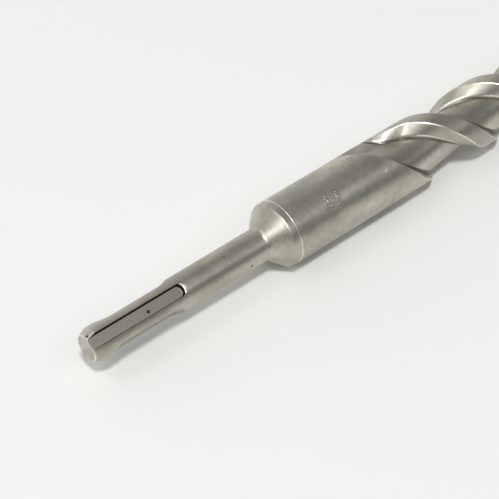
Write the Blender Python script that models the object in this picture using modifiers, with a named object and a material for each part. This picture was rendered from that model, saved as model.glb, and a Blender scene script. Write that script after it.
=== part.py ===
"""SDS-plus masonry drill bit: a one-piece steel body with a carbide plate across its head.

The bit is drawn upright about its own axis, local +Z from the end of the shank to the drill
point, and an empty then lays it down along world +X. Lengths are in millimetres here and
are scaled to metres as they go into the meshes.
"""

import math

import bmesh
import bpy
from mathutils import Matrix, Vector

MM = 0.001

# Overall sizes, measured along the axis from the end face of the shank.
OVERALL_LENGTH = 250.0
SHANK_DIAMETER = 10.0
BODY_DIAMETER = 20.0
CORE_DIAMETER = 11.7
TIP_DIAMETER = 22.0

SHANK_RADIUS = SHANK_DIAMETER / 2
BODY_RADIUS = BODY_DIAMETER / 2
CORE_RADIUS = CORE_DIAMETER / 2

# Shank end and the cone that leads up to the collar.
END_CHAMFER_DEPTH = 1.05
END_CHAMFER_LENGTH = 2.65
SHOULDER_AT = 67.2
SHOULDER_BEVEL_LENGTH = 2.3
SHOULDER_BEVEL_DEPTH = 0.15
CONE_SLOPE = math.radians(43.0)
CONE_FILLET = 2.2
SHOULDER_ROUND = 1.3

# Drive slots, open at the end of the shank, and closed grooves for the locking balls.
DRIVE_SLOT_COUNT = 2
DRIVE_SLOT_WIDTH = 3.9
DRIVE_SLOT_FLOOR = 3.75
DRIVE_SLOT_LENGTH = 30.8
DRIVE_SLOT_DRAFT = math.radians(29.0)
DRIVE_SLOT_LEAD_IN = math.radians(72.0)
DRIVE_SLOT_ANGLE = 30.4
BALL_GROOVE_COUNT = 2
BALL_GROOVE_TURN = 90.0
BALL_GROOVE_HALF_WIDTH = 3.05
BALL_GROOVE_RADIUS = 8.0
BALL_GROOVE_START = 4.8
BALL_GROOVE_END = 29.6

# Flutes: two right-hand ones, each milled with the same cutter.
FLUTE_COUNT = 2
FLUTE_LEAD = 56.0
FLUTE_START = 100.2
FLUTE_WIDTH = 21.8
LAND_WIDTH = FLUTE_LEAD / FLUTE_COUNT - FLUTE_WIDTH
WALL_DEPTH = 2.0
WALL_WIDTH = 0.9
WALL_ROUND_WIDTH = 1.1
LEDGE_DEPTH = 3.0
LEDGE_WIDTH = 3.5
LEDGE_ROUND_WIDTH = 1.0
LEDGE_ROOT_SETBACK = 0.7
LEDGE_ROOT_RISE = 0.18
FLOOR_RISE = 1.5
FLOOR_CURVE = 1.6
CUTTER_STEP = 8.0
CUTTER_CLEARANCE = 1.5

# Run-out of each flute into the collar, in degrees about the axis from the flute's start.
RUN_OUT_END = -4.0
RUN_OUT_SPAN = 50.0
RUN_OUT_CURVE = 2.2
RUN_OUT_RINGS = 8
CREST_TURN_END = -18.0
CREST_TURN_SPAN = 13.0
CREST_SHIFT = 3.2
CREST_RISE = 0.9
CREST_CLIMB_END = -30.0
CREST_CLIMB = 0.06
EDGE_SHIFT = 3.0

# Head and carbide plate.
HEAD_CONE_SLOPE = math.radians(45.0)
HEAD_END_RADIUS = 4.6
HEAD_SETBACK = 4.6
PLATE_THICKNESS = 3.6
PLATE_HEIGHT = 13.0
PLATE_POINT_SLOPE = math.radians(25.0)
PLATE_RELIEF = math.radians(24.0)
PLATE_CORNER_BEVEL = 0.25
BRAZE_GAP = 0.3

# Facets.
BODY_SEGMENTS = 60
GROOVE_SEGMENTS = 48
ARC_STEPS = 8


def clear_scene():
    """Removes every object that the opened file holds."""
    for item in list(bpy.data.objects):
        bpy.data.objects.remove(item, do_unlink=True)


def new_collection(name, hidden=False):
    collection = bpy.data.collections.new(name)
    bpy.context.scene.collection.children.link(collection)
    collection.hide_render = hidden
    return collection


def make_material(name, colour, metallic, roughness):
    """A Principled material from a linear colour."""
    material = bpy.data.materials.new(name)
    material.use_nodes = True
    shader = material.node_tree.nodes["Principled BSDF"]
    shader.inputs["Base Color"].default_value = (*colour, 1.0)
    shader.inputs["Metallic"].default_value = metallic
    shader.inputs["Roughness"].default_value = roughness
    material.diffuse_color = (*colour, 1.0)
    return material


def link_mesh(name, mesh, collection, cutter=False):
    item = bpy.data.objects.new(name, mesh)
    collection.objects.link(item)
    if cutter:
        item.display_type = "WIRE"
        item.hide_render = True
    return item


def apply_modifiers(item):
    """Replaces the object's mesh by the one its modifiers make."""
    bpy.context.view_layer.update()
    graph = bpy.context.evaluated_depsgraph_get()
    mesh = bpy.data.meshes.new_from_object(item.evaluated_get(graph))
    item.modifiers.clear()
    item.data = mesh


def face_outwards(item):
    """Turns all faces of a closed body to look out of it."""
    body = bmesh.new()
    body.from_mesh(item.data)
    bmesh.ops.recalc_face_normals(body, faces=body.faces)
    if body.calc_volume(signed=True) < 0:
        bmesh.ops.reverse_faces(body, faces=body.faces)
    body.to_mesh(item.data)
    body.free()


def turned(name, profile, segments, collection, cutter=False):
    """Turns a profile of (height, radius) points about the local Z axis."""
    mesh = bpy.data.meshes.new(name)
    points = [(radius * MM, 0.0, height * MM) for height, radius in reversed(profile)]
    edges = [(i, i + 1) for i in range(len(points) - 1)]
    mesh.from_pydata(points, edges, [])
    item = link_mesh(name, mesh, collection, cutter)
    screw = item.modifiers.new("Turn", "SCREW")
    screw.axis = "Z"
    screw.angle = math.tau
    screw.steps = segments
    screw.render_steps = segments
    screw.use_merge_vertices = True
    screw.merge_threshold = 0.00005
    apply_modifiers(item)
    item.data.transform(Matrix.Rotation(math.pi / segments, 4, "Z"))
    face_outwards(item)
    return item


def corner_arc(corner, before, after, radius, steps):
    """Points of a round between two straight lines that meet in a corner."""
    corner, before, after = Vector(corner), Vector(before), Vector(after)
    in_dir = (before - corner).normalized()
    out_dir = (after - corner).normalized()
    half = in_dir.angle(out_dir) / 2
    reach = radius / math.tan(half)
    centre = corner + (in_dir + out_dir).normalized() * (radius / math.sin(half))
    start = corner + in_dir * reach - centre
    end = corner + out_dir * reach - centre
    turn = start.angle_signed(end)
    arc = []
    for step in range(steps + 1):
        share = turn * step / steps
        spoke = start.copy()
        spoke.rotate(Matrix.Rotation(-share, 2))
        arc.append(tuple(centre + spoke))
    return arc


def blank_profile():
    """Outline of the turned blank, from the middle of the shank's end to the head."""
    bevel_foot = (SHOULDER_AT - SHOULDER_BEVEL_LENGTH, BODY_RADIUS - SHOULDER_BEVEL_DEPTH)
    cone_rise = bevel_foot[1] - SHANK_RADIUS
    cone_foot = (bevel_foot[0] - cone_rise / math.tan(CONE_SLOPE), SHANK_RADIUS)
    head_end = OVERALL_LENGTH - HEAD_SETBACK
    head_shoulder = head_end - (BODY_RADIUS - HEAD_END_RADIUS) / math.tan(HEAD_CONE_SLOPE)
    shank_top = (END_CHAMFER_LENGTH, SHANK_RADIUS)
    shoulder = (SHOULDER_AT, BODY_RADIUS)
    profile = [(0.0, 0.0), (0.0, SHANK_RADIUS - END_CHAMFER_DEPTH), shank_top]
    profile += corner_arc(cone_foot, shank_top, bevel_foot, CONE_FILLET, ARC_STEPS // 2)
    profile += corner_arc(bevel_foot, cone_foot, shoulder, SHOULDER_ROUND, ARC_STEPS // 2)
    profile += [shoulder, (head_shoulder, BODY_RADIUS), (head_end, HEAD_END_RADIUS)]
    profile.append((head_end, 0.0))
    return profile


def solid_from_rings(name, rings, collection):
    """Lofts a closed solid through rings with the same number of points."""
    body = bmesh.new()
    loops = [[body.verts.new(Vector(point) * MM) for point in ring] for ring in rings]
    count = len(loops[0])
    for lower, upper in zip(loops, loops[1:]):
        for i in range(count):
            j = (i + 1) % count
            body.faces.new((lower[i], lower[j], upper[j], upper[i]))
    body.faces.new(list(reversed(loops[0])))
    body.faces.new(loops[-1])
    bmesh.ops.triangulate(body, faces=body.faces)
    mesh = bpy.data.meshes.new(name)
    body.to_mesh(mesh)
    body.free()
    item = link_mesh(name, mesh, collection, cutter=True)
    face_outwards(item)
    return item


def cutter_lift(turn):
    """How far the cutter stands off the flute's full depth at a turn in degrees."""
    share = max(0.0, RUN_OUT_END - turn) / RUN_OUT_SPAN
    return (BODY_RADIUS - CORE_RADIUS) * share ** RUN_OUT_CURVE


def flute_section(turn):
    """The flute across its run, as (distance along the axis, radius) from wall to land.

    In the run-out the wall and floor are lifted, and the ledge drifts towards the wall
    while its crest climbs, until floor, crest and edge meet in the collar's surface.
    """
    lift = cutter_lift(turn)
    share = min(1.0, max(0.0, CREST_TURN_END - turn) / CREST_TURN_SPAN)
    drift = share * share * (3 - 2 * share)
    climb = CREST_RISE * drift + CREST_CLIMB * max(0.0, CREST_CLIMB_END - turn)
    wall_foot = BODY_RADIUS - WALL_DEPTH
    wall_rise = CUTTER_CLEARANCE * WALL_WIDTH / WALL_DEPTH
    ledge_rise = CUTTER_CLEARANCE * LEDGE_WIDTH / LEDGE_DEPTH
    crest = FLUTE_WIDTH - LEDGE_WIDTH - CREST_SHIFT * drift
    ledge_root = crest - LEDGE_ROOT_SETBACK
    root_radius = CORE_RADIUS + LEDGE_ROOT_RISE + lift
    crest_radius = max(BODY_RADIUS - LEDGE_DEPTH + climb, root_radius)
    edge = FLUTE_WIDTH - EDGE_SHIFT * drift
    floor_start = WALL_WIDTH + WALL_ROUND_WIDTH
    floor_length = ledge_root - LEDGE_ROUND_WIDTH - floor_start
    section = [(-wall_rise, BODY_RADIUS + CUTTER_CLEARANCE + lift), (0.0, BODY_RADIUS + lift)]
    section.append((WALL_WIDTH, wall_foot + lift))
    steps = ARC_STEPS - 2
    for step in range(steps + 1):
        share = step / steps
        radius = CORE_RADIUS + FLOOR_RISE * (1 - share) ** FLOOR_CURVE
        section.append((floor_start + floor_length * share, radius + lift))
    section.append((ledge_root, root_radius))
    section.append((crest, crest_radius))
    section.append((edge, max(BODY_RADIUS, crest_radius)))
    section.append((edge + ledge_rise, BODY_RADIUS + CUTTER_CLEARANCE + lift))
    return section


def flute_cutter(name, collection):
    """A helical solid with the flute's section that lifts out of the collar at its start."""
    first = RUN_OUT_END - CUTTER_STEP * RUN_OUT_RINGS
    last = 360.0 * (OVERALL_LENGTH - FLUTE_START + CUTTER_CLEARANCE) / FLUTE_LEAD
    rings = []
    for index in range(math.ceil((last - first) / CUTTER_STEP) + 1):
        turn = first + CUTTER_STEP * index
        angle = math.radians(turn)
        along = FLUTE_START + FLUTE_LEAD * turn / 360.0
        rings.append([(radius * math.cos(angle), radius * math.sin(angle), along + u)
                      for u, radius in flute_section(turn)])
    return solid_from_rings(name, rings, collection)


def slot_outline(half_width, far_end, near_end):
    """Outline of a slot with one round end, as (across, along) points."""
    outline = [(-half_width, near_end)]
    centre = far_end - half_width
    for step in range(ARC_STEPS + 1):
        angle = math.pi * step / ARC_STEPS
        outline.append((-half_width * math.cos(angle), centre + half_width * math.sin(angle)))
    outline.append((half_width, near_end))
    return outline


def drive_slot_cutter(name, collection):
    """Cuts one drive slot: a flat floor, flared sides, and an eased round inner end."""
    rim = math.sqrt(SHANK_RADIUS ** 2 - (DRIVE_SLOT_WIDTH / 2) ** 2)
    top = SHANK_RADIUS + CUTTER_CLEARANCE
    rings = []
    for height, slope in ((DRIVE_SLOT_FLOOR, DRIVE_SLOT_DRAFT), (rim, DRIVE_SLOT_DRAFT),
                          (top, DRIVE_SLOT_LEAD_IN)):
        flare = (height - rim) * math.tan(slope)
        half_width = DRIVE_SLOT_WIDTH / 2 + flare
        outline = slot_outline(half_width, DRIVE_SLOT_LENGTH + flare, -CUTTER_CLEARANCE)
        rings.append([(height, across, along) for across, along in outline])
    return solid_from_rings(name, rings, collection)


def ball_groove_cutter(name, collection):
    """Cuts one closed groove: a trough with ends that sweep up to the surface."""
    reach = BALL_GROOVE_RADIUS
    rim = math.sqrt(SHANK_RADIUS ** 2 - BALL_GROOVE_HALF_WIDTH ** 2)
    offset = rim + math.sqrt(reach ** 2 - BALL_GROOVE_HALF_WIDTH ** 2)
    sweep = math.sqrt(reach ** 2 - (offset - SHANK_RADIUS) ** 2)
    first = BALL_GROOVE_START + sweep
    last = BALL_GROOVE_END - sweep
    profile = []
    for step in range(ARC_STEPS * 2 + 1):
        angle = math.pi / 2 * step / (ARC_STEPS * 2)
        profile.append((first - reach * math.cos(angle), reach * math.sin(angle)))
    profile += [(first + last - height, radius) for height, radius in reversed(profile)]
    cutter = turned(name, profile, GROOVE_SEGMENTS, collection, cutter=True)
    cutter.data.transform(Matrix.Translation((offset * MM, 0.0, 0.0)))
    return cutter


def turned_copy(source, name, angle, collection):
    """A copy of a cutter, turned about the tool's axis."""
    copy = link_mesh(name, source.data.copy(), collection, cutter=True)
    copy.data.transform(Matrix.Rotation(math.radians(angle), 4, "Z"))
    return copy


def spaced(source, name, count, collection):
    """One cutter made of the given one and its copies, spaced evenly about the axis."""
    body = bmesh.new()
    for index in range(count):
        first = len(body.verts)
        body.from_mesh(source.data)
        turn = Matrix.Rotation(math.tau * index / count, 4, "Z")
        bmesh.ops.transform(body, matrix=turn, verts=list(body.verts)[first:])
    mesh = bpy.data.meshes.new(name)
    body.to_mesh(mesh)
    body.free()
    return link_mesh(name, mesh, collection, cutter=True)


def plate_angle():
    """Angle of the carbide plate, which lies across the middle of both lands."""
    middle = OVERALL_LENGTH - PLATE_HEIGHT / 2
    land = FLUTE_START + FLUTE_WIDTH + LAND_WIDTH / 2
    return 360.0 * (middle - land) / FLUTE_LEAD


def box(name, size, centre, collection, cutter=False):
    body = bmesh.new()
    scale = Matrix.Diagonal((*(Vector(size) * MM), 1.0))
    bmesh.ops.create_cube(body, size=1.0, matrix=Matrix.Translation(Vector(centre) * MM) @ scale)
    mesh = bpy.data.meshes.new(name)
    body.to_mesh(mesh)
    body.free()
    return link_mesh(name, mesh, collection, cutter)


def plate_slot_cutter(name, collection):
    """The slot that takes the carbide plate, with room for the braze on all sides."""
    height = PLATE_HEIGHT + BRAZE_GAP + CUTTER_CLEARANCE
    size = (TIP_DIAMETER + 4 * BRAZE_GAP, PLATE_THICKNESS + 2 * BRAZE_GAP, height)
    bottom = OVERALL_LENGTH - PLATE_HEIGHT - BRAZE_GAP
    return box(name, size, (0.0, 0.0, bottom + height / 2), collection, cutter=True)


def relief_cutter(name, collection):
    """Grinds one half of the plate to its point angle, with relief behind the edge."""
    reach = TIP_DIAMETER
    deep = PLATE_THICKNESS
    drop = reach * math.tan(PLATE_POINT_SLOPE)
    top = OVERALL_LENGTH + 2 * reach
    rings = []
    for across in (-deep, deep):
        base = OVERALL_LENGTH + across * math.tan(PLATE_RELIEF)
        rings.append([(-reach, across, base + drop), (reach, across, base - drop),
                      (reach, across, top), (-reach, across, top)])
    return solid_from_rings(name, rings, collection)


def cut(item, cutter, name):
    step = item.modifiers.new(name, "BOOLEAN")
    step.operation = "DIFFERENCE"
    step.solver = "EXACT"
    step.use_self = True
    step.object = cutter
    apply_modifiers(item)


def clean(item):
    """Welds doubles left by the cuts and turns the faces outwards."""
    body = bmesh.new()
    body.from_mesh(item.data)
    bmesh.ops.remove_doubles(body, verts=body.verts, dist=0.000002)
    bmesh.ops.dissolve_degenerate(body, edges=body.edges, dist=0.000001)
    bmesh.ops.triangulate(body, faces=[f for f in body.faces if len(f.verts) > 4])
    body.to_mesh(item.data)
    body.free()
    face_outwards(item)


def make_body(parts, cutters):
    """Turns the blank, then mills the slots, grooves, flutes and the plate's slot."""
    body = turned("drill_body", blank_profile(), BODY_SEGMENTS, parts)
    flutes = spaced(flute_cutter("flute_mill", cutters), "flutes", FLUTE_COUNT, cutters)
    cut(body, flutes, "Flutes")
    slot = drive_slot_cutter("drive_slot_mill", cutters)
    slots = spaced(slot, "drive_slot_pair", DRIVE_SLOT_COUNT, cutters)
    cut(body, turned_copy(slots, "drive_slots", DRIVE_SLOT_ANGLE, cutters), "Drive slots")
    groove = ball_groove_cutter("ball_groove_mill", cutters)
    grooves = spaced(groove, "ball_groove_pair", BALL_GROOVE_COUNT, cutters)
    groove_angle = DRIVE_SLOT_ANGLE + BALL_GROOVE_TURN
    cut(body, turned_copy(grooves, "ball_grooves", groove_angle, cutters), "Ball grooves")
    plate_slot = plate_slot_cutter("plate_slot_mill", cutters)
    cut(body, turned_copy(plate_slot, "plate_slot", plate_angle(), cutters), "Plate slot")
    clean(body)
    return body


def make_plate(parts, cutters):
    """Presses the carbide plate as a block and grinds its two cutting edges."""
    size = (TIP_DIAMETER, PLATE_THICKNESS, PLATE_HEIGHT)
    centre = (0.0, 0.0, OVERALL_LENGTH - PLATE_HEIGHT / 2)
    plate = box("carbide_tip", size, centre, parts)
    bevel = plate.modifiers.new("Ground corners", "BEVEL")
    bevel.width = PLATE_CORNER_BEVEL * MM
    bevel.segments = 2
    apply_modifiers(plate)
    relief = relief_cutter("relief_wheel", cutters)
    for index, turn in enumerate((0.0, 180.0)):
        cut(plate, turned_copy(relief, f"relief_{index}", turn, cutters), "Relief")
    clean(plate)
    plate.data.transform(Matrix.Rotation(math.radians(plate_angle()), 4, "Z"))
    return plate


def lay_down(items, collection):
    """Lays the upright bit along world +X by way of an empty at the shank's end."""
    axis = bpy.data.objects.new("tool_axis", None)
    collection.objects.link(axis)
    axis.empty_display_size = SHANK_DIAMETER * MM
    axis.rotation_euler = (0.0, math.pi / 2, 0.0)
    for item in items:
        item.parent = axis


def main():
    clear_scene()
    parts = new_collection("sds_plus_drill_bit")
    cutters = new_collection("cutters", hidden=True)
    body = make_body(parts, cutters)
    plate = make_plate(parts, cutters)
    body.data.materials.append(make_material("satin_steel", (0.30, 0.29, 0.25), 1.0, 0.38))
    plate.data.materials.append(make_material("sintered_carbide", (0.20, 0.20, 0.19), 1.0, 0.5))
    lay_down([body, plate], parts)


main()
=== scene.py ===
"""Finished look of a masonry drill bit that lies on a pale studio table.

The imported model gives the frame. The steel body and the carbide plate are modelled again
with finer surfaces, in the same place and at the same size, and get worked metal finishes.
"""

import logging
import math
from dataclasses import dataclass, field
from enum import Enum

import bpy
from mathutils import Matrix, Vector


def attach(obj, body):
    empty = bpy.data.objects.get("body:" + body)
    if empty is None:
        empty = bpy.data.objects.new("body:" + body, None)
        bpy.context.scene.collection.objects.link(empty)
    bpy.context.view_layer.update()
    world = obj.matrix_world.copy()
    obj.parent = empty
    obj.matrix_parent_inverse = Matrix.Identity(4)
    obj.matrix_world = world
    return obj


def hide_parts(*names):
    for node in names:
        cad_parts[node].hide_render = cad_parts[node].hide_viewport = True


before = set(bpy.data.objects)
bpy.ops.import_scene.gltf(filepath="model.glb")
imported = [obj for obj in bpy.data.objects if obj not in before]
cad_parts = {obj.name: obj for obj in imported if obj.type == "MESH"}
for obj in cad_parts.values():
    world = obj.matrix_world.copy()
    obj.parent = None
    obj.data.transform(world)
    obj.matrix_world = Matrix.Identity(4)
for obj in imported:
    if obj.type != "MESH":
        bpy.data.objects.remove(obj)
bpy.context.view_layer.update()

LOG = logging.getLogger("drill_bit")
MM = 0.001
SMOOTH_BELOW = math.radians(24.0)
# A noise pattern keeps mostly within 0.3 to 0.7: the first range gives it a firm edge, the
# second a soft one.
FIRM = (0.35, 0.65)
SOFT = (0.3, 0.7)


def linear(code: str) -> tuple[float, float, float, float]:
    """Turns an sRGB hex colour into linear red, green, blue and alpha.

    Args:
        code: Six hex digits after a hash, as in "#8a8576".

    Returns:
        The linear colour with full alpha.
    """
    parts = [int(code[i:i + 2], 16) / 255 for i in (1, 3, 5)]
    curve = [p / 12.92 if p <= 0.04045 else ((p + 0.055) / 1.055) ** 2.4 for p in parts]
    return (curve[0], curve[1], curve[2], 1.0)


def lesser(first: float, second: float, reach: float) -> float:
    """Gives the lesser of two heights, eased where they meet.

    Args:
        first: One height.
        second: The other height.
        reach: How far apart they are where the easing ends.

    Returns:
        The eased height.
    """
    near = max(reach - abs(first - second), 0.0) / reach
    return min(first, second) - near * near * reach / 4


def greater(first: float, second: float, reach: float) -> float:
    """Gives the greater of two heights, eased where they meet."""
    return -lesser(-first, -second, reach)


def on_bar(along: float, turn: float, radius: float) -> Vector:
    """Gives the world place of a point on the bar.

    Args:
        along: Its distance from the shank's end face, in millimetres.
        turn: Its angle about the axis from world +Z towards -Y, in degrees.
        radius: Its distance from the axis, in millimetres.

    Returns:
        The place in metres.
    """
    angle = math.radians(turn)
    return Vector((along, -radius * math.sin(angle), radius * math.cos(angle))) * MM


def add_node(tree: bpy.types.NodeTree, kind: str, settings: dict | None = None,
             values: dict | None = None, links: dict | None = None) -> bpy.types.Node:
    """Adds a node and sets it up.

    Args:
        tree: The node tree that gets the node.
        kind: The node's type name.
        settings: Properties of the node itself.
        values: Values of its inputs, by name or number.
        links: Output sockets that feed its inputs, by name or number.

    Returns:
        The new node.
    """
    node = tree.nodes.new(kind)
    for name, value in (settings or {}).items():
        setattr(node, name, value)
    for name, value in (values or {}).items():
        node.inputs[name].default_value = value
    for name, socket in (links or {}).items():
        tree.links.new(socket, node.inputs[name])
    return node


def deselect_all() -> None:
    """Leaves nothing selected, in object mode."""
    if bpy.context.object and bpy.context.object.mode != "OBJECT":
        bpy.ops.object.mode_set(mode="OBJECT")
    bpy.ops.object.select_all(action="DESELECT")


def activate(item: bpy.types.Object) -> None:
    """Makes one object the only selected and active one.

    Args:
        item: The object.
    """
    deselect_all()
    item.select_set(True)
    bpy.context.view_layer.objects.active = item


def settle(item: bpy.types.Object) -> None:
    """Moves an object's place, turn and scale into its mesh."""
    activate(item)
    bpy.ops.object.transform_apply(location=True, rotation=True, scale=True)


def apply_modifiers(item: bpy.types.Object) -> None:
    """Applies all modifiers of an object in their order.

    Args:
        item: The object.
    """
    activate(item)
    for modifier in list(item.modifiers):
        bpy.ops.object.modifier_apply(modifier=modifier.name)


class Skin(Enum):
    """The steel body's material slots: its finishes, and colours that paint shade and highlights.
    """

    BLASTED = 0
    SCALE = 1
    RUBBED = 2
    DULL = 3
    FORGED = 4


class Cut(Enum):
    """What a cutter does with the solid it meets."""

    AWAY = "DIFFERENCE"
    KEEP = "INTERSECT"


def cut(item: bpy.types.Object, cutter: bpy.types.Object, how: Cut = Cut.AWAY) -> None:
    """Cuts one solid with another and deletes the cutter.

    Args:
        item: The solid that is cut.
        cutter: The solid that cuts.
        how: Whether the cutter's space goes or stays.
    """
    modifier = item.modifiers.new("Cut", "BOOLEAN")
    modifier.operation = how.value
    modifier.solver = "EXACT"
    modifier.use_self = True
    modifier.object = cutter
    apply_modifiers(item)
    LOG.info("%s: cut with %s", item.name, cutter.name)
    bpy.data.objects.remove(cutter, do_unlink=True)


def copied(item: bpy.types.Object, angle: float = 0.0) -> bpy.types.Object:
    """Copies a solid with its own mesh and turns the copy about the bar's axis.

    Args:
        item: The solid to copy.
        angle: The turn about world +X, in radians.

    Returns:
        The copy.
    """
    copy = item.copy()
    copy.data = item.data.copy()
    bpy.context.scene.collection.objects.link(copy)
    copy.data.transform(Matrix.Rotation(angle, 4, "X"))
    return copy


def opposed(item: bpy.types.Object, angle: float = 0.0) -> bpy.types.Object:
    """Turns a cutter into place and joins it with its copy across the axis.

    Args:
        item: The cutter.
        angle: The turn of the first one about world +X, in radians.

    Returns:
        The joined pair.
    """
    item.data.transform(Matrix.Rotation(angle, 4, "X"))
    other = copied(item, math.pi)
    activate(item)
    other.select_set(True)
    bpy.ops.object.join()
    return item


def edit(item: bpy.types.Object, kind: str = "VERT") -> None:
    """Opens a mesh in edit mode, with nothing selected.

    Args:
        item: The mesh object.
        kind: What gets selected there: "VERT", "EDGE" or "FACE".
    """
    activate(item)
    bpy.ops.object.mode_set(mode="EDIT")
    bpy.ops.mesh.select_mode(type=kind)
    bpy.ops.mesh.select_all(action="DESELECT")


def smooth(item: bpy.types.Object) -> None:
    """Smooths a finished piece, so that its large faces stay true beside rounded edges.

    Args:
        item: The piece.
    """
    activate(item)
    bpy.ops.object.shade_smooth_by_angle(angle=SMOOTH_BELOW)
    weighted = item.modifiers.new("True faces", "WEIGHTED_NORMAL")
    weighted.keep_sharp = True
    apply_modifiers(item)


def face_outwards() -> None:
    """Turns all faces of the mesh in edit mode to look out, and leaves edit mode."""
    bpy.ops.mesh.select_all(action="SELECT")
    bpy.ops.mesh.normals_make_consistent(inside=False)
    bpy.ops.object.mode_set(mode="OBJECT")


class Metal:
    """A metal's node tree while it is being built."""

    def __init__(self, name: str) -> None:
        """Starts a metal material.

        Args:
            name: The material's name.
        """
        self.made = bpy.data.materials.new(name)
        self.made.use_nodes = True
        self.tree = self.made.node_tree
        self.shader = self.tree.nodes["Principled BSDF"]
        self.shader.inputs["Metallic"].default_value = 1.0
        self.place = add_node(self.tree, "ShaderNodeTexCoord").outputs["Object"]

    def noise(self, size_mm: float, detail: float = 3.0,
              stretch: tuple[float, float, float] = (1.0, 1.0, 1.0)) -> bpy.types.NodeSocket:
        """Adds a noise pattern.

        Args:
            size_mm: The size of its blots on the real part.
            detail: How much finer pattern it carries.
            stretch: Factors on the pattern's frequency along each axis.

        Returns:
            The pattern from 0 to 1.
        """
        spread = add_node(self.tree, "ShaderNodeMapping", values={"Scale": stretch},
                          links={"Vector": self.place}).outputs["Vector"]
        return add_node(self.tree, "ShaderNodeTexNoise",
                        values={"Scale": 1 / (size_mm * MM), "Detail": detail},
                        links={"Vector": spread}).outputs["Fac"]

    def ranged(self, value: bpy.types.NodeSocket, source: tuple[float, float],
               target: tuple[float, float] = (0.0, 1.0)) -> bpy.types.NodeSocket:
        """Maps a value from one range to another, and holds it at the ends.

        Args:
            value: The value's socket.
            source: The range it comes in.
            target: The range it leaves in.

        Returns:
            The mapped value.
        """
        values = {"From Min": source[0], "From Max": source[1],
                  "To Min": target[0], "To Max": target[1]}
        return add_node(self.tree, "ShaderNodeMapRange", values=values,
                        links={"Value": value}).outputs["Result"]

    def mixed(self, share: bpy.types.NodeSocket, first: str | bpy.types.NodeSocket,
              second: str) -> bpy.types.NodeSocket:
        """Mixes two colours.

        Args:
            share: How much there is of the second.
            first: The first colour, as a hex code or a socket.
            second: The second colour, as a hex code.

        Returns:
            The mixed colour.
        """
        node = add_node(self.tree, "ShaderNodeMix", {"data_type": "RGBA"},
                        {7: linear(second)}, {0: share})
        if isinstance(first, str):
            node.inputs[6].default_value = linear(first)
        else:
            self.tree.links.new(first, node.inputs[6])
        return node.outputs[2]

    def near(self, point: Vector, size_mm: float, ragged: bpy.types.NodeSocket,
             soft: float = 0.5) -> bpy.types.NodeSocket:
        """Marks a ragged blot round a point.

        Args:
            point: The blot's centre in metres.
            size_mm: Its radius.
            ragged: A pattern that makes its outline uneven.
            soft: Which share of the radius fades out.

        Returns:
            1 in the blot and 0 outside.
        """
        away = add_node(self.tree, "ShaderNodeVectorMath", {"operation": "DISTANCE"},
                        {1: point}, {0: self.place}).outputs["Value"]
        # The pattern's middle value is a half, so that the blot keeps its size.
        edge = add_node(self.tree, "ShaderNodeMath", {"operation": "MULTIPLY_ADD"},
                        {1: -size_mm * MM, 2: size_mm * MM * 0.5}, {0: ragged}).outputs[0]
        uneven = add_node(self.tree, "ShaderNodeMath", {"operation": "ADD"},
                          links={0: away, 1: edge}).outputs[0]
        return self.ranged(uneven, (size_mm * MM * (1 - soft), size_mm * MM), (1.0, 0.0))

    def bump(self, height: bpy.types.NodeSocket, deep_mm: float, strength: float,
             below: bpy.types.NodeSocket | None = None) -> bpy.types.NodeSocket:
        """Adds relief to the surface.

        Args:
            height: The relief's pattern.
            deep_mm: Its real depth.
            strength: How strongly it shows.
            below: A relief that this one lies on.

        Returns:
            The surface's normal.
        """
        links = {"Height": height} if below is None else {"Height": height, "Normal": below}
        return add_node(self.tree, "ShaderNodeBump",
                        values={"Strength": strength, "Distance": deep_mm * MM},
                        links=links).outputs["Normal"]

    def marked(self, colour: bpy.types.NodeSocket, marks: tuple["Mark", ...]
               ) -> bpy.types.NodeSocket:
        """Adds small spots: dark ones paint the shade in dents, light ones the glint on nicks.

        Args:
            colour: The colour they lie on.
            marks: The marks.

        Returns:
            The colour with the marks.
        """
        for mark in marks:
            centre = on_bar(mark.along, mark.turn, mark.radius)
            # The pattern of its outline is a little finer than the mark.
            ragged = self.noise(mark.size * 0.8, detail=2.0)
            colour = self.mixed(self.near(centre, mark.size, ragged), colour, mark.colour)
        return colour

    def finish(self, colour: bpy.types.NodeSocket, roughness: bpy.types.NodeSocket,
               normal: bpy.types.NodeSocket) -> bpy.types.Material:
        """Connects the surface.

        Args:
            colour: The metal's colour.
            roughness: Its roughness.
            normal: Its surface's normal.

        Returns:
            The finished material.
        """
        for name, socket in (("Base Color", colour), ("Roughness", roughness), ("Normal", normal)):
            self.tree.links.new(socket, self.shader.inputs[name])
        return self.made


@dataclass(frozen=True)
class Mark:
    """A spot on the bar: place, radius, colour. Dark spots are painted dent shade, light ones
    painted glints.
    """

    along: float
    turn: float
    radius: float
    size: float
    colour: str


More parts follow.
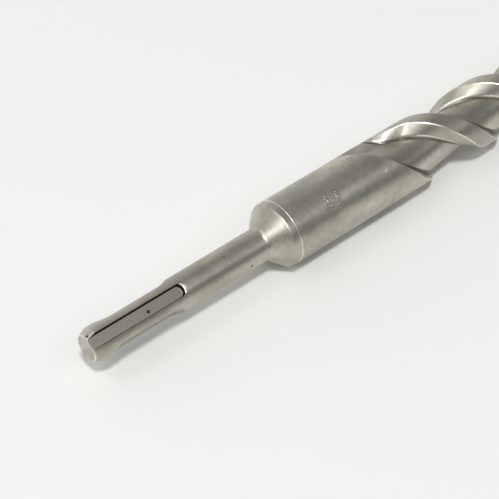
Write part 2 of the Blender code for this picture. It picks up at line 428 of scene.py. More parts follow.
@dataclass(frozen=True)
class BlastedSteel:
    """Alloy steel, heat treated, blasted and oiled: a warm grey satin with dark clouds.

    Each relief is its depth in millimetres and how strongly it shows. The grit's dents are
    about 0.1 mm wide on the real part, too fine to show, so they are drawn coarser.
    """

    name: str = "blasted_alloy_steel"
    slot: str = "satin_steel"
    colour: str = "#c9c7b9"
    cloud_colour: str = "#afada0"
    temper_colour: str = "#b0a498"
    speck_colour: str = "#97948a"
    roughness: tuple[float, float] = (0.36, 0.44)
    cloud_mm: float = 7.0
    cloud_range: tuple[float, float] = (0.36, 0.68)
    cloud_stretch: tuple[float, float, float] = (0.45, 1.0, 1.0)
    temper_mm: float = 12.0
    temper_range: tuple[float, float] = (0.58, 0.74)
    temper_share: float = 0.7
    mottle_mm: float = 1.6
    mottle_range: tuple[float, float] = (0.45, 0.75)
    mottle_share: float = 0.4
    mottle_relief: tuple[float, float] = (0.012, 0.35)
    turning_mm: float = 0.22
    turning_stretch: tuple[float, float, float] = (1.0, 0.004, 0.004)
    turning_relief: tuple[float, float] = (0.003, 0.18)
    grit_mm: float = 0.3
    grit_relief: tuple[float, float] = (0.012, 0.22)
    # Dark marks are painted shade in small dents; light ones are painted glints on nicks.
    marks: tuple[Mark, ...] = (
        Mark(101.4, 41.0, 10.0, 0.45, "#f4f2ea"), Mark(102.3, 38.5, 10.0, 0.3, "#e2e0d8"),
        Mark(115.3, -42.0, 10.0, 0.6, "#4c4a44"), Mark(132.2, 73.0, 10.0, 0.6, "#5f5c54"),
        Mark(46.0, 13.0, 5.0, 0.35, "#6c695f"), Mark(52.2, 31.0, 5.0, 0.3, "#dad8cc"),
        Mark(52.7, 91.0, 5.0, 0.55, "#4f4c44"), Mark(0.6, -2.0, 4.3, 0.5, "#45423b"),
    )
    patch: tuple[float, float, float] = (81.6, 43.0, 10.0)
    patch_radius: float = 3.9
    patch_fade: float = 0.35
    patch_edge_mm: float = 2.0
    pit_mm: float = 0.5
    pit_range: tuple[float, float] = (0.42, 0.62)
    pit_relief: tuple[float, float] = (0.05, 1.0)
    pit_colour: str = "#a5a295"

    def material(self) -> bpy.types.Material:
        """Builds the node material.

        Returns:
            The finished material.
        """
        metal = Metal(self.name)
        # Clouds of oil and scale lie along the bar, so their pattern is stretched along X.
        clouds = metal.noise(self.cloud_mm, 4.0, self.cloud_stretch)
        colour = metal.mixed(metal.ranged(clouds, self.cloud_range), self.colour,
                             self.cloud_colour)
        temper = metal.ranged(metal.noise(self.temper_mm, 2.0), self.temper_range,
                              (0.0, self.temper_share))
        colour = metal.mixed(temper, colour, self.temper_colour)
        mottle = metal.noise(self.mottle_mm, 3.0)
        specks = metal.ranged(mottle, self.mottle_range, (0.0, self.mottle_share))
        colour = metal.marked(metal.mixed(specks, colour, self.speck_colour), self.marks)
        lathe = metal.noise(self.turning_mm, 1.0, self.turning_stretch)
        grit = metal.noise(self.grit_mm, 2.0)
        normal = metal.bump(lathe, *self.turning_relief)
        normal = metal.bump(mottle, *self.mottle_relief, normal)
        normal = metal.bump(grit, *self.grit_relief, normal)
        # The roughened spot on the collar is a plain patch of small pits.
        ragged = metal.noise(self.patch_edge_mm, 1.0)
        inside = metal.near(on_bar(*self.patch), self.patch_radius, ragged, self.patch_fade)
        pits = metal.ranged(metal.noise(self.pit_mm, 1.0), self.pit_range)
        height = add_node(metal.tree, "ShaderNodeMath", {"operation": "MULTIPLY"},
                          links={0: inside, 1: pits}).outputs[0]
        colour = metal.mixed(height, colour, self.pit_colour)
        rough = metal.ranged(clouds, SOFT, self.roughness)
        return metal.finish(colour, rough, metal.bump(height, *self.pit_relief, normal))


@dataclass(frozen=True)
class FlakyDarkSteel:
    """A dull, flaky steel; its dark default colours are painted shade on the drive slots' walls.
    """

    name: str = "painted_shade_slot_walls"
    colour: str = "#3e3d36"
    dark_colour: str = "#2b2a24"
    roughness: tuple[float, float] = (0.5, 0.65)
    flake_mm: float = 0.5
    flake_relief: tuple[float, float] = (0.02, 0.15)
    # A dark spot: painted shade in a dent.
    marks: tuple[Mark, ...] = (Mark(18.9, 38.0, 3.8, 0.66, "#403e37"),)

    def material(self) -> bpy.types.Material:
        """Builds the node material.

        Returns:
            The finished material.
        """
        metal = Metal(self.name)
        flakes = metal.noise(self.flake_mm)
        colour = metal.mixed(metal.ranged(flakes, FIRM), self.colour, self.dark_colour)
        rough = metal.ranged(flakes, SOFT, self.roughness)
        return metal.finish(metal.marked(colour, self.marks), rough,
                            metal.bump(flakes, *self.flake_relief))


@dataclass(frozen=True)
class WearAndHighlightSteel:
    """The same steel on edges, brighter: worn bright by handling and the cutter, and a painted
    highlight along them.

    Its scratches are finer than the render shows, so they are drawn 0.3 mm wide.
    """

    name: str = "wear_and_highlight_steel_edge"
    colour: str = "#efede3"
    dull_colour: str = "#cfcdc1"
    roughness: tuple[float, float] = (0.33, 0.44)
    wear_mm: float = 1.5
    scratch_mm: float = 0.3
    scratch_relief: tuple[float, float] = (0.008, 0.2)

    def material(self) -> bpy.types.Material:
        """Builds the node material.

        Returns:
            The finished material.
        """
        metal = Metal(self.name)
        wear = metal.noise(self.wear_mm)
        colour = metal.mixed(metal.ranged(wear, FIRM), self.colour, self.dull_colour)
        scratches = metal.noise(self.scratch_mm, 2.0)
        return metal.finish(colour, metal.ranged(wear, SOFT, self.roughness),
                            metal.bump(scratches, *self.scratch_relief))


@dataclass(frozen=True)
class SilverBraze:
    """Silver-copper braze that holds the plate: a dull yellowish seam."""

    name: str = "silver_braze"
    slot: str = "satin_steel"
    colour: str = "#b7a278"
    dark_colour: str = "#8c7a58"
    roughness: tuple[float, float] = (0.37, 0.52)
    flow_mm: float = 0.8
    flow_relief: tuple[float, float] = (0.03, 0.4)

    def material(self) -> bpy.types.Material:
        """Builds the node material.

        Returns:
            The finished material.
        """
        metal = Metal(self.name)
        flow = metal.noise(self.flow_mm)
        colour = metal.mixed(metal.ranged(flow, FIRM), self.colour, self.dark_colour)
        return metal.finish(colour, metal.ranged(flow, SOFT, self.roughness),
                            metal.bump(flow, *self.flow_relief))


@dataclass(frozen=True)
class SinteredCarbide:
    """Tungsten carbide, pressed, sintered and ground on its edges: a dull dark grey.

    Its real grain is a few thousandths of a millimetre and is drawn coarser, to show.
    """

    name: str = "sintered_carbide"
    slot: str = "sintered_carbide"
    colour: str = "#7d7d7a"
    dark_colour: str = "#666664"
    roughness: tuple[float, float] = (0.41, 0.54)
    cloud_mm: float = 2.5
    grain_mm: float = 0.3
    grain_relief: tuple[float, float] = (0.02, 0.3)

    def material(self) -> bpy.types.Material:
        """Builds the node material.

        Returns:
            The finished material.
        """
        metal = Metal(self.name)
        grain, clouds = metal.noise(self.grain_mm), metal.noise(self.cloud_mm)
        colour = metal.mixed(metal.ranged(clouds, FIRM), self.colour, self.dark_colour)
        return metal.finish(colour, metal.ranged(grain, SOFT, self.roughness),
                            metal.bump(grain, *self.grain_relief))


@dataclass
class DrillBody:
    """The steel body: shank, cone, collar, flutes and head, from one turned bar.

    Lengths are in millimetres, along the axis from the shank's end face. Angles about the
    axis run from world +Z towards the camera's side, which is world -Y. The flute's section
    is drawn in strips: the wall's edge, its face, its foot, the floor, the ledge's face, its
    crest, the ledge and the ledge's edge.
    """

    length: float = 250.0
    shank_radius: float = 5.0
    body_radius: float = 10.0
    core_radius: float = 5.85
    segments: int = 192
    end_chamfer: tuple[float, float] = (2.65, 1.05)
    end_rounds: tuple[float, float] = (0.4, 1.0)
    # Length of the end rim that is worn bright and given a painted highlight.
    wear_and_highlight_rim: float = 0.45
    shoulder_at: float = 67.2
    shoulder_bevel: tuple[float, float] = (2.3, 0.15)
    cone_slope: float = math.radians(43.0)
    cone_fillet: float = 2.2
    shoulder_round: float = 1.3
    step_slope: float = 1.2
    slot_angle: float = 30.4
    slot_half_width: float = 1.95
    slot_floor: float = 3.75
    slot_corner: tuple[float, float] = (0.1, 0.04)
    slot_length: float = 30.8
    slot_draft: float = math.radians(29.0)
    slot_lead_in: float = math.radians(75.0)
    slot_lip: float = 0.1
    slot_lean: float = 0.25
    slot_end_round: float = 0.999
    flat_above: float = 0.75
    groove_half_width: float = 3.05
    groove_radius: float = 8.0
    groove_span: tuple[float, float] = (4.8, 29.6)
    flute_lead: float = 56.0
    flute_start: float = 100.2
    flute_width: float = 21.8
    wall: tuple[float, float] = (0.9, 2.0)
    ledge: tuple[float, float] = (3.5, 3.0)
    ledge_root: tuple[float, float] = (0.7, 1.25)
    floor_rise: tuple[float, float] = (1.5, 1.6)
    floor_ends: tuple[float, float] = (1.1, 1.0)
    wall_ease: float = 0.9
    crest_ease: float = 0.22
    face_ease: float = 0.45
    edge_round: float = 0.45
    wall_edge_share: float = 1 / 2.2
    run_out: tuple[float, float, float] = (-4.0, 50.0, 2.2)
    first_turn: float = -60.0
    crest_drift: tuple[float, float] = (-18.0, 13.0)
    crest_shift: float = 3.2
    crest_rise: float = 0.9
    crest_climb: tuple[float, float] = (-30.0, 0.06)
    edge_shift: float = 3.0
    tip_taper: tuple[float, float] = (0.2, 1.3)
    turn_step: float = 4.0
    strips: tuple[int, ...] = (5, 1, 5, 10, 5, 5, 3, 6)
    # Strips of the wall's edge, the crest and the ledge's edge: worn bright, with a painted
    # highlight.
    bright_strips: tuple[int, ...] = (*range(1, 6), *range(28, 31), *range(36, 39))
    # Strips of the walls' faces and feet and of the ledges' faces, which get painted shade.
    steep_strips: tuple[int, ...] = (*range(7, 12), *range(22, 27))
    wall_ends: tuple[float, float] = (0.6, 1.9)
    face_ends: tuple[float, float] = (1.4, 0.3)
    least_strip: float = 0.02
    proud: float = 0.003
    clearance: float = 1.5
    overreach: float = 2.0
    head_setback: float = 4.6
    head_end_radius: float = 4.6
    head_rounds: tuple[float, float] = (0.5, 0.4)
    plate_thickness: float = 3.6
    plate_height: float = 13.0
    braze_gap: float = 0.3
    tip_diameter: float = 22.0
    skins: dict[Skin, bpy.types.Material] = field(default_factory=dict)
    finish: BlastedSteel = field(default_factory=BlastedSteel)
    # scale holds the dark colours painted as shade on the drive slots' walls.
    scale: FlakyDarkSteel = field(default_factory=FlakyDarkSteel)
    # Edges worn bright, with a painted highlight.
    wear_and_highlight: WearAndHighlightSteel = field(default_factory=WearAndHighlightSteel)
    # dull holds the colours painted as shade on the flute's steep walls and ledge faces.
    dull: FlakyDarkSteel = field(default_factory=lambda: FlakyDarkSteel(
        "painted_shade_steep_walls", "#938f82", "#7b786b", (0.37, 0.52)))
    # Slot floors and ball grooves get a darker steel colour than the body.
    darker_recess: FlakyDarkSteel = field(default_factory=lambda: FlakyDarkSteel(
        "darker_slot_floor", "#a9a699", "#96938a", (0.37, 0.52)))
    braze: SilverBraze = field(default_factory=SilverBraze)

    def fillet(self, corner: tuple[float, float], before: tuple[float, float],
               after: tuple[float, float], radius: float, steps: int) -> list[tuple]:
        """Rounds a corner of the turned outline.

        Args:
            corner: The sharp corner as (along, radius).
            before: A point of the outline before it.
            after: A point of the outline after it.
            radius: The round's radius.
            steps: How many pieces the round gets.

        Returns:
            The points of the round.
        """
        point, first, last = Vector(corner), Vector(before), Vector(after)
        into, out = (first - point).normalized(), (last - point).normalized()
        half = into.angle(out) / 2
        centre = point + (into + out).normalized() * (radius / math.sin(half))
        start = point + into * (radius / math.tan(half)) - centre
        end = point + out * (radius / math.tan(half)) - centre
        turn = start.angle_signed(end)
        points = []
        for step in range(steps + 1):
            spoke = start.copy()
            spoke.rotate(Matrix.Rotation(-turn * step / steps, 2))
            points.append(tuple(centre + spoke))
        return points

    def outline(self) -> list[tuple[float, float]]:
        """Lists the turned outline, from the end face to the head.

        Returns:
            Its points as (along, radius).
        """
        bevel, drop = self.shoulder_bevel
        foot = (self.shoulder_at - bevel, self.body_radius - drop)
        rise = foot[1] - self.shank_radius
        cone_foot = (foot[0] - rise / math.tan(self.cone_slope), self.shank_radius)
        head_end = self.length - self.head_setback
        head_shoulder = head_end - (self.body_radius - self.head_end_radius)
        top = (self.end_chamfer[0], self.shank_radius)
        step_foot = (self.shoulder_at - drop * self.step_slope, self.body_radius - drop)
        face = (0.0, self.shank_radius - self.end_chamfer[1])
        corner, tip = (head_shoulder, self.body_radius), (head_end, self.head_end_radius)
        points = self.fillet(face, (0.0, 0.0), top, self.end_rounds[0], steps=4)
        points += self.fillet(top, face, cone_foot, self.end_rounds[1], steps=3)
        points += self.fillet(cone_foot, top, foot, self.cone_fillet, steps=8)
        points += self.fillet(foot, cone_foot, step_foot, self.shoulder_round, steps=8)
        points += [step_foot, (self.shoulder_at, self.body_radius)]
        points += self.fillet(corner, points[-1], tip, self.head_rounds[0], steps=4)
        points += self.fillet(tip, corner, (head_end, 0.0), self.head_rounds[1], steps=4)
        return points

    def turn_blank(self) -> bpy.types.Object:
        """Turns the bar: a disc drawn out ring by ring along its outline.

        Returns:
            The closed blank.
        """
        points = self.outline()
        deselect_all()
        bpy.ops.mesh.primitive_circle_add(vertices=self.segments, radius=points[0][1] * MM,
                                          fill_type="NGON", rotation=(0.0, math.pi / 2, 0.0))
        blank = bpy.context.object
        blank.name = "steel_body"
        settle(blank)
        edit(blank)
        bpy.ops.mesh.select_all(action="SELECT")
        for (x0, r0), (x1, r1) in zip(points, points[1:]):
            step = {"value": ((x1 - x0) * MM, 0.0, 0.0)}
            bpy.ops.mesh.extrude_region_move(TRANSFORM_OT_translate=step)
            bpy.ops.transform.resize(value=(1.0, r1 / r0, r1 / r0),
                                     center_override=(x1 * MM, 0.0, 0.0))
        face_outwards()
        self.give_skins(blank)
        # The end rim and the shoulder's step are worn bright and get a painted highlight.
        for face in blank.data.polygons:
            at_end = abs(face.normal.x) > 0.999
            if self.on_wear_and_highlight_ring(face.center.x / MM) and not at_end:
                face.material_index = Skin.RUBBED.value
        return blank

    def on_wear_and_highlight_ring(self, along: float) -> bool:
        """Tells whether a ring of the turned outline lies on an edge that is worn bright and given
        a painted highlight.
        """
        step = self.shoulder_at - self.shoulder_bevel[1] * self.step_slope
        return along < self.wear_and_highlight_rim or step < along < self.shoulder_at

    def give_skins(self, item: bpy.types.Object) -> None:
        """Gives a solid the body's material slots, so that a cut keeps them apart."""
        for kind in Skin:
            item.data.materials.append(self.skins[kind])

    def lift(self, turn: float) -> float:
        """Tells how far the cutter stands off the flute's full depth at a turn in degrees."""
        end, span, curve = self.run_out
        return (self.body_radius - self.core_radius) * (max(0.0, end - turn) / span) ** curve

    def ledge_line(self, turn: float) -> tuple[float, float, float]:
        """Follows the ledge, which drifts towards the wall and climbs in the run-out.

        Args:
            turn: The angle about the axis from the flute's start, in degrees.

        Returns:
            Where its crest lies along the bar, the crest's radius, and where its edge lies.
        """
        share = min(1.0, max(0.0, self.crest_drift[0] - turn) / self.crest_drift[1])
        drift = share * share * (3 - 2 * share)
        climb = self.crest_rise * drift
        climb += self.crest_climb[1] * max(0.0, self.crest_climb[0] - turn)
        crest = self.flute_width - self.ledge[0] - self.crest_shift * drift
        width = self.ledge[0] + (self.crest_shift - self.edge_shift) * drift
        width -= self.tip_taper[0] * max(0.0, self.crest_climb[0] - turn)
        edge = crest + max(self.tip_taper[1], width)
        return crest, self.body_radius - self.ledge[1] + climb, edge

    def flute_radius(self, along: float, turn: float) -> float:
        """Gives the radius of the milled surface: wall, floor, ledge face and ledge.

        Args:
            along: The distance along the bar from the flute's wall edge.
            turn: The angle about the axis from the flute's start, in degrees.

        Returns:
            The radius, which passes the bar's own where nothing is cut.
        """
        lift = self.lift(turn)
        crest, crest_radius, edge = self.ledge_line(turn)
        wall = self.body_radius + lift - along * self.wall[1] / self.wall[0]
        start = self.wall[0] + self.floor_ends[0]
        width = crest - self.ledge_root[0] - self.floor_ends[1] - start
        share = min(1.0, max(0.0, (along - start) / width))
        floor = self.core_radius + self.floor_rise[0] * (1 - share) ** self.floor_rise[1] + lift
        face = crest_radius + (along - crest) * self.ledge_root[1] / self.ledge_root[0]
        slope = (self.body_radius - crest_radius) / (edge - crest)
        ledge = crest_radius + (along - crest) * slope
        shelf = lesser(face, ledge, self.crest_ease)
        return greater(greater(wall, floor, self.wall_ease), shelf, self.face_ease)

    def crossing(self, turn: float, outside: float, inside: float) -> float:
        """Finds where the milled surface leaves the bar's surface.

        Args:
            turn: The angle about the axis from the flute's start, in degrees.
            outside: A place along the bar where nothing is cut.
            inside: A place where the surface is cut.

        Returns:
            The place along the bar.
        """
        for _ in range(30):
            middle = (outside + inside) / 2
            if self.flute_radius(middle, turn) > self.body_radius:
                outside = middle
            else:
                inside = middle
        return inside

    def flute_section(self, turn: float) -> list[tuple[float, float]]:
        """Lists one section of the flute's mill as (along, radius), its edges rounded.

        Args:
            turn: The angle about the axis from the flute's start, in degrees.

        Returns:
            The closed section, always with the same number of points.
        """
        crest, _, edge = self.ledge_line(turn)
        # The lowest place is looked for in tenths of a millimetre across the flute.
        lowest = min((step * 0.1 for step in range(220)), key=lambda u: self.flute_radius(u, turn))
        # A section that cuts nothing shrinks to a sliver outside the bar.
        small, ends = 0.01, [lowest, lowest + 0.2]
        rounds = [small, small]
        if self.flute_radius(lowest, turn) < self.body_radius:
            ends = [self.crossing(turn, -1.0, lowest), self.crossing(turn, edge + 2.0, lowest)]
            for index, end in enumerate(ends):
                rise = abs(self.flute_radius(end + small, turn) - self.flute_radius(end, turn))
                rounds[index] = self.edge_round * min(1.0, max(0.05, rise / small))
        reach = [self.edge_round * self.wall_edge_share, self.edge_round]
        stops = [ends[0] + reach[0], *self.wall_ends, crest - self.face_ends[0],
                 crest - self.face_ends[1], crest + self.face_ends[1], ends[1] - reach[1],
                 ends[1] + reach[1]]
        places = [ends[0] - reach[0]]
        for place, count in zip(stops, self.strips):
            start, stop = places[-1], max(place, places[-1] + self.least_strip)
            places += [start + (stop - start) * (i + 1) / count for i in range(count)]
        brim = self.body_radius + self.clearance
        middle = (ends[0] + ends[1]) / 2
        section = [(places[0] - self.least_strip, brim)]
        for place in places:
            reach_here = rounds[0] if place < middle else rounds[1]
            radius = lesser(self.flute_radius(place, turn), self.body_radius + self.proud,
                            reach_here)
            section.append((place, radius))
        section.append((places[-1] + self.least_strip, brim))
        return section

    def strip_skin(self, strip: int) -> Skin:
        """Tells a strip's material: worn bright with a painted highlight on the three outer edges,
        painted shade on steep walls.
        """
        return (Skin.RUBBED if strip in self.bright_strips else
                Skin.DULL if strip in self.steep_strips else Skin.BLASTED)

    def flute_mill(self) -> bpy.types.Object:
        """Models the space one flute takes: a sheet wound along its helix and closed.

        Returns:
            The closed cutter.
        """
        last = 360.0 * (self.length - self.flute_start + self.clearance) / self.flute_lead
        rings = math.ceil((last - self.first_turn) / self.turn_step) + 1
        turns = [self.first_turn + self.turn_step * index for index in range(rings)]
        sections = [self.flute_section(turn) for turn in turns]
        columns = len(sections[0]) + 1
        deselect_all()
        bpy.ops.mesh.primitive_grid_add(x_subdivisions=columns - 1, y_subdivisions=rings - 1,
                                        size=1.0)
        mill = bpy.context.object
        mill.name = "flute_mill"
        for index, vertex in enumerate(mill.data.vertices):
            ring, column = divmod(index, columns)
            along, radius = sections[ring][column % (columns - 1)]
            place = self.flute_start + self.flute_lead * turns[ring] / 360.0 + along
            vertex.co = on_bar(place, turns[ring], radius)
        self.give_skins(mill)
        for index, face in enumerate(mill.data.polygons):
            face.material_index = self.strip_skin(index % (columns - 1)).value
        edit(mill)
        bpy.ops.mesh.select_all(action="SELECT")
        bpy.ops.mesh.remove_doubles(threshold=0.0000005)
        bpy.ops.mesh.select_all(action="DESELECT")
        bpy.ops.mesh.select_non_manifold()
        bpy.ops.mesh.edge_face_add()
        face_outwards()
        return mill

    def drive_slot_mill(self) -> bpy.types.Object:
        """Models the space of one drive slot: its floor's outline drawn up level by level.

        Returns:
            The closed cutter, above the axis.
        """
        rim = math.sqrt(self.shank_radius ** 2 - self.slot_half_width ** 2)
        slope, top = math.tan(self.slot_draft), self.shank_radius + self.clearance
        floor_width = self.slot_half_width - (rim - self.slot_floor) * slope
        flare = (top - rim - self.slot_lip) * math.tan(self.slot_lead_in)
        corner, rise = self.slot_corner
        levels = [(self.slot_floor, floor_width - corner), (self.slot_floor + rise, floor_width),
                  (self.slot_floor + corner, floor_width + corner * slope),
                  (rim, self.slot_half_width),
                  (rim + self.slot_lip, self.slot_half_width + self.slot_lip * slope),
                  (top, self.slot_half_width + flare)]
        near, first = -self.clearance, levels[0][1]
        reach = self.slot_length - self.slot_half_width - near
        deselect_all()
        bpy.ops.mesh.primitive_plane_add(size=1.0)
        mill = bpy.context.object
        mill.name = "drive_slot_mill"
        mill.scale = ((reach + first) * MM, 2 * first * MM, 1.0)
        mill.location = ((near + (reach + first) / 2) * MM, 0.0, levels[0][0] * MM)
        settle(mill)
        edit(mill)
        bpy.ops.object.mode_set(mode="OBJECT")
        for vertex in mill.data.vertices:
            vertex.select = vertex.co.x > 0.0
        bpy.ops.object.mode_set(mode="EDIT")
        bpy.ops.mesh.bevel(offset=first * self.slot_end_round * MM, segments=14,
                           affect="VERTICES")
        bpy.ops.mesh.select_all(action="SELECT")
        for (z0, w0), (z1, w1) in zip(levels, levels[1:]):
            step = {"value": (0.0, 0.0, (z1 - z0) * MM)}
            bpy.ops.mesh.extrude_region_move(TRANSFORM_OT_translate=step)
            bpy.ops.transform.resize(value=((reach + w1) / (reach + w0), w1 / w0, 1.0),
                                     center_override=(near * MM, 0.0, z1 * MM))
        face_outwards()
        for vertex in mill.data.vertices:
            if vertex.co.y < 0.0:
                below = max(0.0, rim * MM - vertex.co.z) / (rim - self.slot_floor)
                vertex.co.y -= below * self.slot_lean
        self.give_skins(mill)
        # The slot walls get dark colours as painted shade; the floor below the rim gets a darker
        # steel colour.
        for face in mill.data.polygons:
            if abs(face.normal.z) < self.flat_above and face.center.x > 0.0:
                face.material_index = Skin.SCALE.value
            elif face.center.z < rim * MM:
                face.material_index = Skin.FORGED.value
        return mill

    def ball_groove_mill(self) -> bpy.types.Object:
        """Models the space of one ball groove: a ball drawn out along the shank.

        Returns:
            The closed cutter, above the axis.
        """
        reach = self.groove_radius
        rim = math.sqrt(self.shank_radius ** 2 - self.groove_half_width ** 2)
        offset = rim + math.sqrt(reach ** 2 - self.groove_half_width ** 2)
        sweep = math.sqrt(reach ** 2 - (offset - self.shank_radius) ** 2)
        first, last = self.groove_span[0] + sweep, self.groove_span[1] - sweep
        deselect_all()
        bpy.ops.mesh.primitive_uv_sphere_add(segments=128, ring_count=64, radius=reach * MM,
                                             location=(first * MM, 0.0, offset * MM),
                                             rotation=(0.0, math.pi / 2, 0.0))
        mill = bpy.context.object
        mill.name = "ball_groove_mill"
        settle(mill)
        edit(mill, "FACE")
        bpy.ops.object.mode_set(mode="OBJECT")
        for face in mill.data.polygons:
            face.select = face.center.x > first * MM
        bpy.ops.object.mode_set(mode="EDIT")
        step = {"value": ((last - first) * MM, 0.0, 0.0)}
        bpy.ops.mesh.extrude_region_move(TRANSFORM_OT_translate=step)
        face_outwards()
        self.give_skins(mill)
        # The whole groove gets the darker steel colour.
        for face in mill.data.polygons:
            face.material_index = Skin.FORGED.value
        return mill

    def plate_angle(self) -> float:
        """Tells where the carbide plate lies about the axis.

        Returns:
            The angle from world +Z, in radians.
        """
        land_middle = (self.flute_lead / 2 + self.flute_width) / 2
        turn = self.length - self.plate_height / 2 - self.flute_start - land_middle
        return math.tau * turn / self.flute_lead

    def head_block(self, thickness: float, bottom: float) -> bpy.types.Object:
        """Models a flat block across the head, turned to the plate's angle.

        Args:
            thickness: Its thickness.
            bottom: Where it starts along the bar.

        Returns:
            The block, which reaches past the head.
        """
        height = self.length + self.clearance - bottom
        deselect_all()
        bpy.ops.mesh.primitive_cube_add(size=1.0)
        block = bpy.context.object
        block.name = "plate_slot_block"
        block.scale = (height * MM, thickness * MM, (self.tip_diameter + self.overreach) * MM)
        block.location = ((bottom + height / 2) * MM, 0.0, 0.0)
        settle(block)
        block.data.transform(Matrix.Rotation(self.plate_angle(), 4, "X"))
        return block

    def mills(self) -> list[bpy.types.Object]:
        """Models the cutters of flutes, drive slots and ball grooves.

        Returns:
            The cutters, each an opposed pair.
        """
        angle = math.radians(self.slot_angle)
        slots = opposed(self.drive_slot_mill(), angle)
        grooves = opposed(self.ball_groove_mill(), angle + math.pi / 2)
        return [opposed(self.flute_mill()), slots, grooves]

    def dress(self, item: bpy.types.Object, name: str) -> None:
        """Smooths a finished piece and says what it stands for.

        Args:
            item: The piece.
            name: Its name.
        """
        item.name = name
        smooth(item)
        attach(item, "root")
        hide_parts("drill_body")
        LOG.info("%s: %d faces", item.name, len(item.data.polygons))

    def model(self) -> None:
        """Makes the body and the braze in its head."""
        self.skins = {Skin.BLASTED: self.finish.material(), Skin.SCALE: self.scale.material(),
                      Skin.RUBBED: self.wear_and_highlight.material(), Skin.DULL: self.dull.material(),
                      Skin.FORGED: self.darker_recess.material()}
        body = self.turn_blank()
        for mill in self.mills():
            cut(body, mill)
        bottom = self.length - self.plate_height
        wide, deep = self.plate_thickness + 2 * self.braze_gap, bottom - self.braze_gap
        seam = copied(body)
        edit(seam)
        bpy.ops.mesh.select_all(action="SELECT")
        bpy.ops.mesh.bisect(plane_co=((deep - self.overreach) * MM, 0.0, 0.0),
                            plane_no=(1.0, 0.0, 0.0), use_fill=True, clear_inner=True)
        bpy.ops.object.mode_set(mode="OBJECT")
        cut(seam, self.head_block(wide, deep), Cut.KEEP)
        cut(seam, self.head_block(self.plate_thickness, bottom))
        cut(body, self.head_block(wide, deep))
        seam.data.materials.clear()
        seam.data.materials.append(self.braze.material())
        self.dress(body, "steel_body")
        self.dress(seam, "braze_seam")


@dataclass
class CarbidePlate:
    """The carbide plate across the head, roof-shaped, with a cutting edge on each half."""

    body: DrillBody
    corner_bevel: float = 0.25
    point_slope: float = math.radians(25.0)
    relief: float = math.radians(24.0)
    finish: SinteredCarbide = field(default_factory=SinteredCarbide)

    def model(self) -> bpy.types.Object:
        """Makes the plate.

        Returns:
            The finished plate, dressed and declared.
        """
        height, length = self.body.plate_height, self.body.length
        deselect_all()
        bpy.ops.mesh.primitive_cube_add(size=1.0)
        plate = bpy.context.object
        plate.name = "carbide_plate"
        plate.scale = (height * MM, self.body.plate_thickness * MM, self.body.tip_diameter * MM)
        plate.location = ((length - height / 2) * MM, 0.0, 0.0)
        settle(plate)
        bevel = plate.modifiers.new("Ground corners", "BEVEL")
        bevel.width = self.corner_bevel * MM
        bevel.segments = 3
        apply_modifiers(plate)
        for side in (1.0, -1.0):
            slopes = (math.tan(self.relief) * side, math.tan(self.point_slope) * side)
            normal = Vector((1.0, -slopes[0], -slopes[1])).normalized()
            edit(plate)
            bpy.ops.mesh.select_all(action="SELECT")
            bpy.ops.mesh.bisect(plane_co=(length * MM, 0.0, 0.0), plane_no=normal,
                                use_fill=True, clear_outer=True)
            bpy.ops.object.mode_set(mode="OBJECT")
        plate.data.transform(Matrix.Rotation(self.body.plate_angle(), 4, "X"))
        plate.data.materials.append(self.finish.material())
        smooth(plate)
        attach(plate, "root")
        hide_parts("carbide_tip")
        LOG.info("%s: %d faces", plate.name, len(plate.data.polygons))
        return plate


@dataclass(frozen=True)
class Softbox:
    """A soft lamp: its name, the way to it, its distance, size and radiance, in metres."""

    name: str
    towards: tuple[float, float, float]
    distance: float
    size: tuple[float, float]
    radiance: float
    aim: tuple[float, float, float] = (0.12, 0.0, 0.0)

    def hang(self) -> None:
        """Hangs the lamp so that it faces the bit."""
        lamp = bpy.data.lights.new(self.name, "AREA")
        lamp.shape = "RECTANGLE"
        lamp.size, lamp.size_y = self.size
        # The lamp's power is four times its radiance over its area.
        lamp.energy = self.radiance * self.size[0] * self.size[1] * 4.0
        item = bpy.data.objects.new(self.name, lamp)
        bpy.context.scene.collection.objects.link(item)
        way = Vector(self.towards).normalized()
        item.location = Vector(self.aim) + way * self.distance
        item.rotation_euler = way.to_track_quat("Z", "Y").to_euler()
        item.visible_camera = False


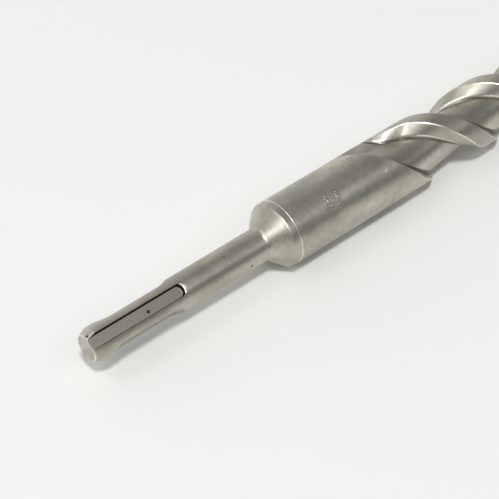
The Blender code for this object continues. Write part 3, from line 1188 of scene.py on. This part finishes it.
@dataclass
class Studio:
    """The pale table, the soft lights and the camera.

    The table's height and the camera's place are in millimetres, the rest is in metres. The
    room glows by how far a direction points away from the camera's side, between the two
    ends of sky_span.
    """

    table_z: float = -10.0
    table_size: float = 3.0
    table_middle: float = 0.1
    table_colour: str = "#f4f4f2"
    table_roughness: float = 0.9
    table_specular: float = 0.1
    sky_tint: tuple[float, float, float, float] = (1.0, 1.0, 0.99, 1.0)
    sky_front: float = 0.15
    sky_gain: float = 0.98
    sky_span: tuple[float, float] = (-0.6, 1.05)
    sky_power: float = 3.0
    lamp: float = 1.48
    lamp_angle: float = math.radians(9.0)
    lamp_towards: tuple[float, float, float] = (-0.2, -0.30, 0.93)
    boxes: tuple[Softbox, ...] = (
        Softbox("front_softbox", (0.0, -0.64, 0.70), 1.4, (2.4, 0.50), 0.66),
        Softbox("left_softbox", (-0.82, -0.12, 0.56), 1.2, (0.36, 0.36), 3.9),
        Softbox("high_softbox", (-0.51, 0.28, 0.80), 1.2, (0.42, 0.42), 1.9),
    )
    camera_at: tuple[float, float, float] = (-150.22, -243.62, 324.59)
    looks_along: tuple[float, float, float] = (0.4533, 0.5354, -0.7126)
    lens: float = 118.28

    def lay_table(self) -> None:
        """Lays the table under the bit."""
        deselect_all()
        bpy.ops.mesh.primitive_plane_add(size=self.table_size,
                                         location=(self.table_middle, 0.0, self.table_z * MM))
        table = bpy.context.object
        table.name = "table"
        settle(table)
        made = bpy.data.materials.new("matt_white_board")
        made.use_nodes = True
        shader = made.node_tree.nodes["Principled BSDF"]
        shader.inputs["Base Color"].default_value = linear(self.table_colour)
        shader.inputs["Roughness"].default_value = self.table_roughness
        shader.inputs["Specular IOR Level"].default_value = self.table_specular
        table.data.materials.append(made)

    def light(self) -> None:
        """Sets the room's glow, the main lamp and the softboxes."""
        world = bpy.context.scene.world or bpy.data.worlds.new("studio")
        bpy.context.scene.world = world
        world.use_nodes = True
        tree = world.node_tree
        background = tree.nodes["Background"]
        background.inputs["Color"].default_value = self.sky_tint
        # The room is pale behind the table and dark on the camera's side.
        way = add_node(tree, "ShaderNodeTexCoord").outputs["Generated"]
        split = add_node(tree, "ShaderNodeSeparateXYZ", links={"Vector": way})
        span = {"From Min": self.sky_span[0], "From Max": self.sky_span[1]}
        share = add_node(tree, "ShaderNodeMapRange", values=span,
                         links={"Value": split.outputs["Y"]})
        steep = add_node(tree, "ShaderNodeMath", {"operation": "POWER"}, {1: self.sky_power},
                         {0: share.outputs["Result"]})
        level = add_node(tree, "ShaderNodeMath", {"operation": "MULTIPLY_ADD"},
                         {1: self.sky_gain, 2: self.sky_front}, {0: steep.outputs[0]})
        tree.links.new(level.outputs[0], background.inputs["Strength"])
        lamp = bpy.data.lights.new("main_lamp", "SUN")
        lamp.energy = self.lamp
        lamp.angle = self.lamp_angle
        item = bpy.data.objects.new("main_lamp", lamp)
        bpy.context.scene.collection.objects.link(item)
        item.rotation_euler = Vector(self.lamp_towards).to_track_quat("Z", "Y").to_euler()
        for box in self.boxes:
            box.hang()

    def set_camera(self) -> None:
        """Puts the camera where the photograph was taken."""
        data = bpy.data.cameras.new("camera")
        data.lens = self.lens
        data.sensor_width = 36.0
        data.sensor_fit = "HORIZONTAL"
        data.clip_start = 0.01
        camera = bpy.data.objects.new("camera", data)
        bpy.context.scene.collection.objects.link(camera)
        camera.location = Vector(self.camera_at) * MM
        camera.rotation_euler = Vector(self.looks_along).to_track_quat("-Z", "Y").to_euler()
        bpy.context.scene.camera = camera

    def build(self) -> None:
        """Sets up the table, the lights and the camera."""
        self.lay_table()
        self.light()
        self.set_camera()
        bpy.context.scene.view_settings.view_transform = "Standard"


def main() -> None:
    """Builds the bit and its studio."""
    logging.basicConfig(level=logging.INFO, format="%(relativeCreated)6d ms %(name)s: %(message)s")
    body = DrillBody()
    body.model()
    CarbidePlate(body).model()
    Studio().build()


if __name__ == "__main__":
    main()
